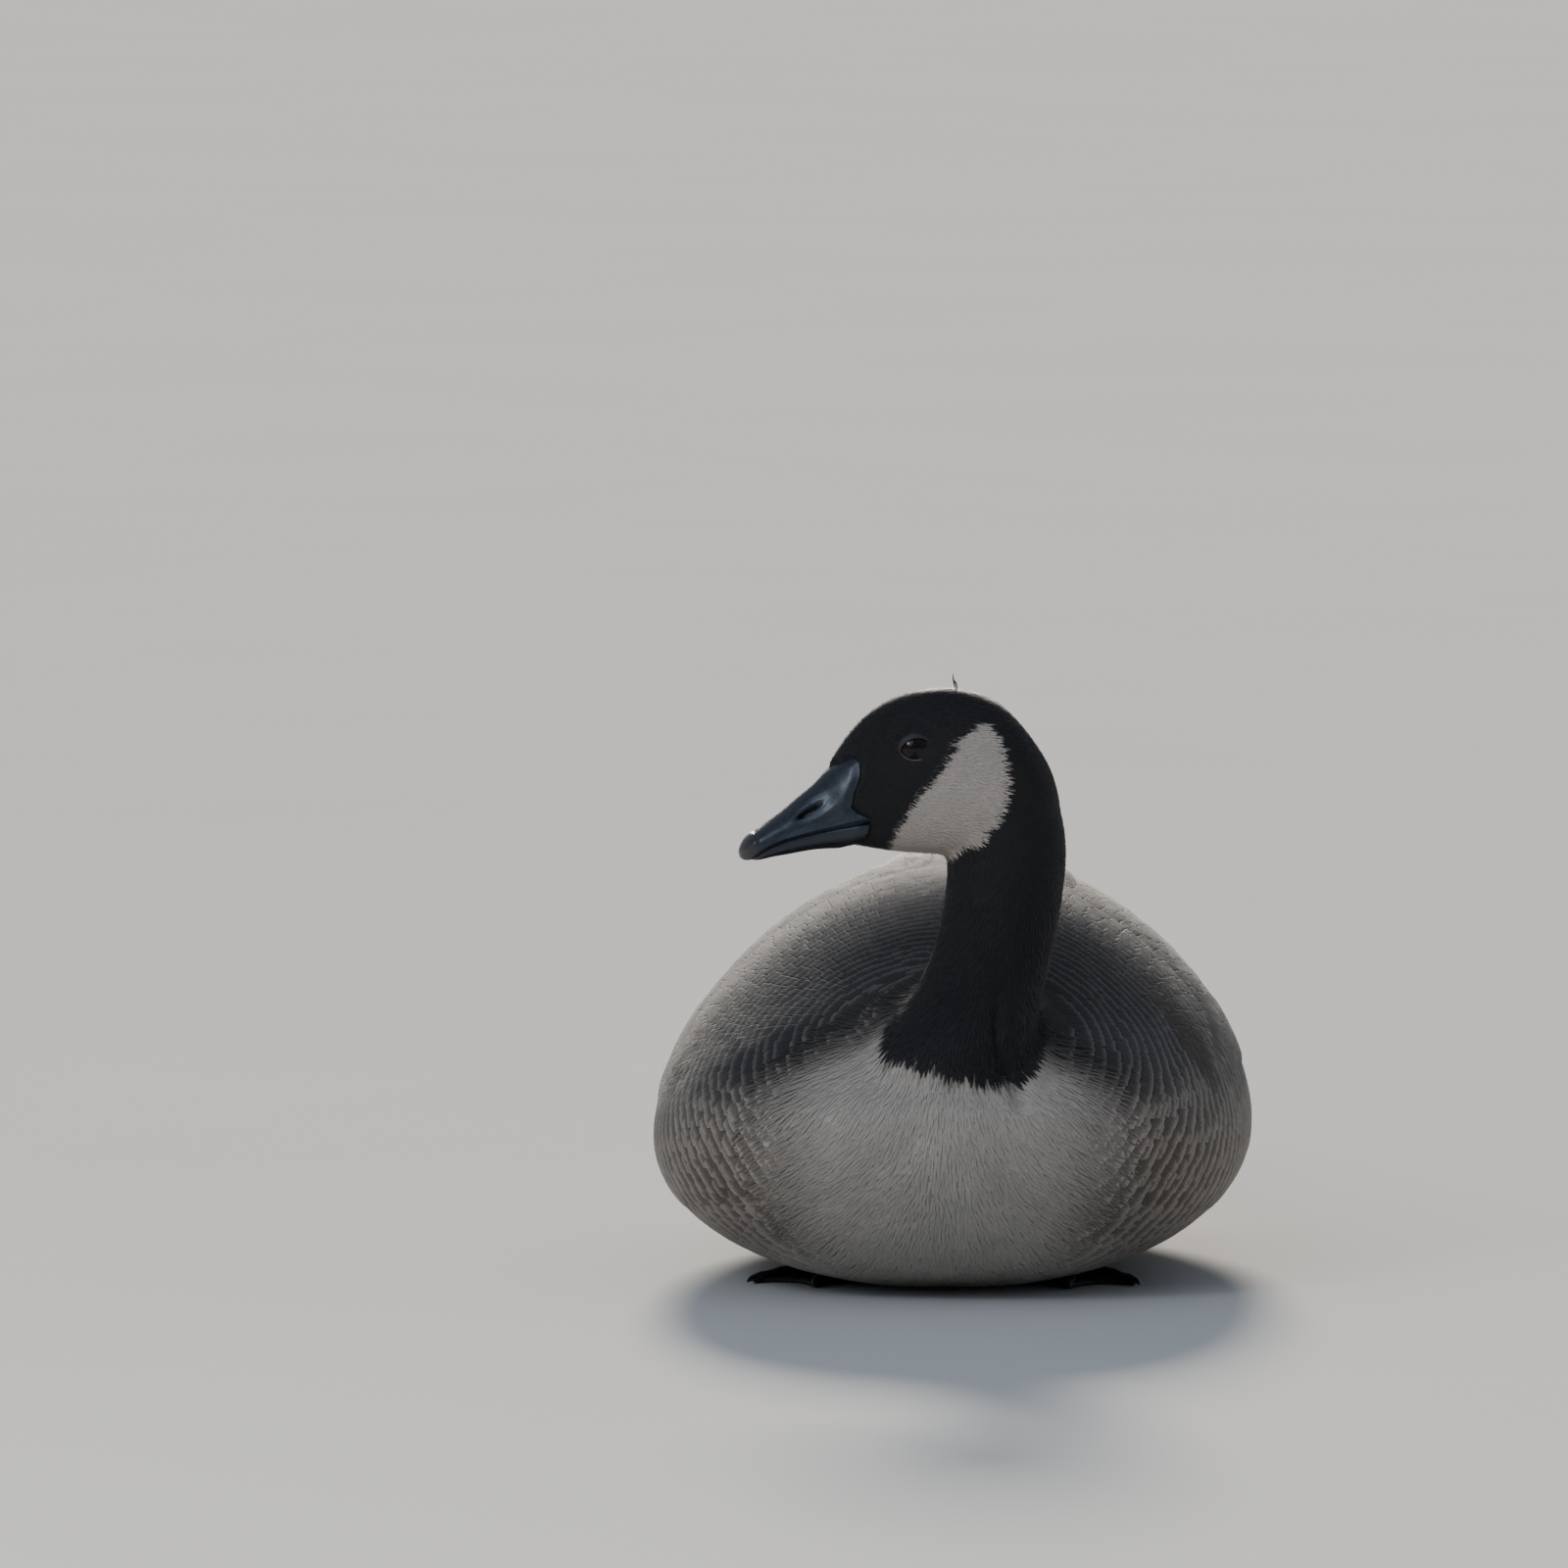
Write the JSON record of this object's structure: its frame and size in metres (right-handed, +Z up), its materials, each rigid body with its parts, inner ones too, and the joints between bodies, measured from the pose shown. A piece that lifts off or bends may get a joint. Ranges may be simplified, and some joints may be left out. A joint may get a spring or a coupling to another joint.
{
  "type": "canada goose",
  "caption": "Life-size still model of a Canada goose resting as it floats, feet folded under its belly, neck raised and head turned to its right.",
  "frame": {"origin": "on the floor under the middle of the belly's flat", "axes": "+Z up, -Y the way the breast faces, +X the bird's left side"},
  "size_m": [0.2512, 0.5949, 0.2552],
  "materials": {
    "plumage_pale": "soft feather, grey-brown with pale edges, paler on the breast and belly",
    "plumage_black": "velvety black feather with a grey-white cheek patch",
    "plumage_brown": "matt feather, grey-brown with pale buff edges",
    "plumage_tail": "blackish feather with a white band across the rump and under the tail",
    "horn": "black horn with a soft gloss",
    "eye": "very dark brown and glossy",
    "leg_skin": "blackish scaled skin"
  },
  "bodies": {
    "root": {"torso": "plumage_pale", "neck": "plumage_black", "head": "plumage_black", "bill_upper": "horn", "bill_lower": "horn", "eye_left": "eye", "eye_right": "eye", "wing_left": "plumage_brown", "wing_right": "plumage_brown", "tail": "plumage_tail", "leg_left": "leg_skin", "leg_right": "leg_skin", "foot_left": "leg_skin", "foot_right": "leg_skin"}
  },
  "joints": []
}
